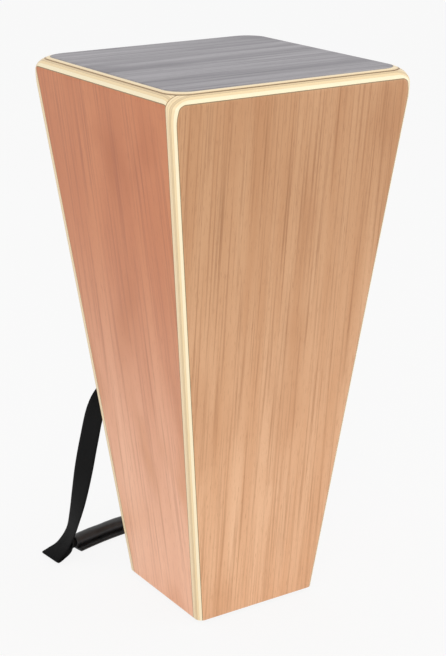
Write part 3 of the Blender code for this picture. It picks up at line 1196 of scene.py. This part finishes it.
@dataclass
class Strap:
    """The webbing: it hangs from the back board to the floor, folds over and runs rolled up in its sleeve.

    A row of its route is outward distance, y, z, the turn and lift of its width in degrees, and the curl,
    which is the angle in radians that its width is bent through.
    """

    shape: DrumShape
    sleeve: Sleeve
    width: float = 38 * MM
    thickness: float = 1.6 * MM
    rim_share: float = 0.45
    plate_margin: float = 3 * MM
    swing_start: Point = (0.080, 0.029, 0.020)
    rolled_angle: float = 5.6
    rolled_steps: int = 4
    # Outwards, behind the anchor, height as a share of the anchor's, turn and lift.
    hanging: tuple = (
        (0.060, 0.0130, 0.996, 2, 52),
        (0.079, 0.0290, 0.950, 6, 14),
        (0.0925, 0.0360, 0.854, 6, 0),
        (0.102, 0.0390, 0.686, 7, 0),
        (0.1095, 0.0420, 0.519, 7, 0),
        (0.116, 0.0460, 0.352, 0, 0),
        (0.1215, 0.0490, 0.234, -8, -2),
        (0.1265, 0.0530, 0.138, -12, -6),
    )
    # The same on the floor, with the height in metres, then the curl.
    folded: tuple = (
        (0.137, 0.0550, 0.0160, -6, -7, 0.0),
        (0.149, 0.0550, 0.0085, 2, -3, 0.0),
        (0.1565, 0.0550, 0.0045, 5, 0, 0.0),
        (0.152, 0.0580, 0.0012, 4, 0, 0.0),
        (0.140, 0.0625, 0.0014, 0, 0, 0.3),
        (0.127, 0.0660, 0.0018, 0, 0, 1.5),
    )
    route_segments: int = 12
    width_segments: int = 16
    flat_length: float = field(init=False)
    cut_end: float = field(init=False)

    def __post_init__(self) -> None:
        """Finds from the frame how far the webbing lies flat on the board."""
        self.flat_length = self.plate_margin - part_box("left_strap_plate")[0].x
        self.cut_end = -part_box("left_strap_end")[1].x

    def rows(self) -> list[list[float]]:
        """The route of the webbing's left or right half, from its cut end to the drum's middle.

        Returns:
            The route's rows.
        """
        anchor, sleeve = self.sleeve.anchor, self.sleeve
        upright = 90 - math.degrees(self.shape.lean)
        flat = (anchor.y, anchor.z, 0, upright, 0)
        rows = [(self.flat_length, *flat)]
        for x, behind, share, turn, lift in self.hanging:
            rows.append((x, anchor.y + behind, anchor.z * share, turn, lift, 0))
        for x, behind, height, turn, lift, curl in self.folded:
            height = max(height, self.thickness / 2 + sleeve.floor_clearance)
            rows.append((x, anchor.y + behind, height, turn, lift, curl))
        radius = self.width / self.rolled_angle
        for step in range(self.rolled_steps + 1):
            middle = sleeve.centre(sleeve.half_length * (1 - step / self.rolled_steps))
            rows.append((middle.x, middle.y, middle.z - radius, 0, 0, self.rolled_angle))
        return [[self.cut_end, *flat], *smooth_rows(rows, self.route_segments)]

    def section(self, curl: float) -> list[tuple[float, float]]:
        """The webbing's section, flat or curled up, thinner at its woven rims.

        Args:
            curl: the angle that its width bends through, in radians.

        Returns:
            Points along the width and out of the face, round the section.
        """
        lower, upper = [], []
        for step in range(self.width_segments + 1):
            along = self.width * (step / self.width_segments - 0.5)
            bend = curl * along / self.width
            if abs(curl) < 0.01:
                middle = (along, 0.0)
            else:
                radius = self.width / curl
                middle = (radius * math.sin(bend), radius * (1 - math.cos(bend)))
            normal = (-math.sin(bend), math.cos(bend))
            half = self.thickness / 2 * (self.rim_share if step in (0, self.width_segments) else 1.0)
            lower.append((middle[0] - normal[0] * half, middle[1] - normal[1] * half))
            upper.append((middle[0] + normal[0] * half, middle[1] + normal[1] * half))
        return lower + upper[::-1]

    def unroll(self, mesh: bpy.types.Mesh, lengths: Sequence[float]) -> None:
        """Lays the strap's own width and length, in metres, on its mesh for the weave.

        Args:
            mesh: the webbing's mesh, made of equal rings.
            lengths: the distance along the strap at each ring.
        """
        count = 2 * (self.width_segments + 1)
        layer = mesh.uv_layers.new(name="weave")
        for loop in mesh.loops:
            ring, place = divmod(loop.vertex_index, count)
            step = min(place, count - 1 - place)
            layer.data[loop.index].uv = (self.width * step / self.width_segments, lengths[ring])

    def webbing(self, side: Side) -> Piece:
        """One half of the webbing.

        Args:
            side: which half.

        Returns:
            The piece, running between the drum and the strap.
        """
        rows = self.rows()
        sign = side.value
        middles = [Vector((sign * row[0], row[1], row[2])) for row in rows]
        rings, lengths = [], [0.0]
        for i, row in enumerate(rows):
            ahead = (middles[min(i + 1, len(rows) - 1)] - middles[max(i - 1, 0)]).normalized()
            turn, lift = math.radians(row[3]), math.radians(row[4])
            across = Vector(
                (sign * math.sin(turn) * math.cos(lift), math.cos(turn) * math.cos(lift), math.sin(lift))
            )
            face = ahead.cross(across).normalized() * -sign
            rings.append([middles[i] + across * p + face * q for p, q in self.section(row[5])])
            if i:
                lengths.append(lengths[-1] + (middles[i] - middles[i - 1]).length)
        name = f"webbing_{side.name.lower()}"
        piece = closed_piece(name, *skin(rings), angle=50)
        self.unroll(piece.data, lengths)
        WovenWebbing("black_woven_polypropylene").dress(piece)
        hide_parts(f"{side.name.lower()}_strap_end", "strap_loop")
        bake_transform(piece)
        log.info("%s: %.3f m long", name, lengths[-1])
        return piece

    def build(self) -> list[Piece]:
        """Makes both halves of the webbing, then the sleeve.

        Returns:
            The pieces.
        """
        return [*(self.webbing(side) for side in Side), *self.sleeve.build()]


@dataclass(frozen=True)
class Softbox:
    """A soft rectangular lamp: its place, its width and height, and its power in watts."""

    name: str
    place: Point
    size: tuple[float, float]
    power: float


@dataclass
class Studio:
    """The floor, the soft light and the camera."""

    background: str = "#F9F9F9"
    floor_paint: str = "#EDEDED"
    floor_size: float = 60.0
    floor_glow: float = 1.03
    glow_share: float = 0.90
    ambient: float = 0.72
    lamps: tuple[Softbox, ...] = (
        Softbox("key_softbox", (-2.4, -2.9, 1.5), (2.4, 2.0), 42.0),
        Softbox("fill_softbox", (2.8, -1.8, 1.1), (2.2, 2.2), 22.0),
        Softbox("top_softbox", (0.4, 0.6, 3.2), (2.6, 2.6), 8.0),
    )
    lamp_aim: Point = (0, 0, 0.33)
    position: Point = (-1.0001, -1.5502, 0.9589)
    azimuth: float = 32.97
    elevation: float = 18.67
    roll: float = -0.13
    focal_pixels: float = 1606.6
    frame_height: int = 656
    sensor: float = 36.0
    sight: float = 200.0

    def build(self, shape: DrumShape) -> None:
        """Sets up everything around the object.

        Args:
            shape: the drum, which the camera's place is measured from.
        """
        self.floor()
        self.world()
        for softbox in self.lamps:
            self.lamp(softbox)
        self.camera(shape)
        bpy.context.scene.view_settings.view_transform = "Standard"

    def seen_white(self, tree: Tree) -> Socket:
        """1 on the rays that see the background itself, reflect it or see it through glass, else 0.

        Args:
            tree: the node tree of the floor or the world.

        Returns:
            The number.
        """
        rays = add_node(tree, "LightPath").outputs
        inputs = {0: rays["Is Camera Ray"], 1: rays["Is Glossy Ray"]}
        direct = add_node(tree, "Math", inputs, operation="MAXIMUM").outputs[0]
        inputs = {0: direct, 1: rays["Is Transmission Ray"]}
        return add_node(tree, "Math", inputs, operation="MAXIMUM").outputs[0]

    def floor(self) -> None:
        """A plain pale floor that shows near white and keeps the object's shadow."""
        half = self.floor_size / 2
        mesh = bpy.data.meshes.new("floor")
        corners = [(-half, -half, 0), (half, -half, 0), (half, half, 0), (-half, half, 0)]
        mesh.from_pydata(corners, [], [(0, 1, 2, 3)])
        piece = place_mesh("floor", mesh)
        material = bpy.data.materials.new("painted_floor")
        material.use_nodes = True
        tree = material.node_tree
        tree.nodes.clear()
        paint = add_node(tree, "BsdfDiffuse", {"Color": linear(self.floor_paint)}).outputs[0]
        glow = add_node(
            tree, "Emission", {"Color": linear(self.background), "Strength": self.floor_glow}
        ).outputs[0]
        shown = add_node(tree, "MixShader", {0: self.glow_share, 1: paint, 2: glow}).outputs[0]
        mix = add_node(tree, "MixShader", {0: self.seen_white(tree), 1: paint, 2: shown}).outputs[0]
        add_node(tree, "OutputMaterial", {"Surface": mix})
        mesh.materials.append(material)

    def world(self) -> None:
        """Even light from all round, seen as the pale background."""
        world = bpy.data.worlds.new("studio")
        world.use_nodes = True
        tree = world.node_tree
        tree.nodes.clear()
        light = {"Color": linear("#FFFFFF"), "Strength": self.ambient}
        ambient = add_node(tree, "Background", light).outputs[0]
        wall = {"Color": linear(self.background), "Strength": 1.0}
        shown = add_node(tree, "Background", wall).outputs[0]
        mix = add_node(tree, "MixShader", {0: self.seen_white(tree), 1: ambient, 2: shown}).outputs[0]
        add_node(tree, "OutputWorld", {"Surface": mix})
        bpy.context.scene.world = world

    def lamp(self, softbox: Softbox) -> None:
        """Sets up one lamp, facing the drum.

        Args:
            softbox: the lamp.
        """
        light = bpy.data.lights.new(softbox.name, "AREA")
        light.shape = "RECTANGLE"
        light.size, light.size_y = softbox.size
        light.energy = softbox.power
        lamp = bpy.data.objects.new(softbox.name, light)
        lamp.location = softbox.place
        aim = Vector(self.lamp_aim) - Vector(softbox.place)
        lamp.rotation_euler = aim.to_track_quat("-Z", "Y").to_euler()
        bpy.context.scene.collection.objects.link(lamp)

    def camera(self, shape: DrumShape) -> None:
        """The camera, at the angle and distance of the reference view.

        Args:
            shape: the drum, which the camera's place is measured from.
        """
        data = bpy.data.cameras.new("camera")
        data.sensor_width = self.sensor
        data.lens = self.focal_pixels / self.frame_height * self.sensor
        data.clip_end = self.sight
        camera = bpy.data.objects.new("camera", data)
        x, y, z = self.position
        turn = Matrix.Rotation(math.radians(-self.azimuth), 4, "Z")
        tip = Matrix.Rotation(math.radians(90 - self.elevation), 4, "X")
        spin = Matrix.Rotation(math.radians(self.roll), 4, "Z")
        place = Matrix.Translation((x, y + shape.middle_y, z + shape.bottom))
        camera.matrix_world = place @ turn @ tip @ spin
        bpy.context.scene.collection.objects.link(camera)
        bpy.context.scene.camera = camera


def main() -> None:
    """Builds every sub-assembly round the frame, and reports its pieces."""
    logging.basicConfig(level=logging.INFO, format="%(message)s")
    shape = DrumShape()
    sleeve = Sleeve(Vector(frame["record"]["behaviour"]["joints"][0]["pos_m"]))
    Studio().build(shape)
    for assembly in (Shell(shape), CarriedOver(), Strap(shape, sleeve)):
        for piece in assembly.build():
            log.info("%s: %d faces", piece.name, len(piece.data.polygons))


if __name__ == "__main__":
    main()
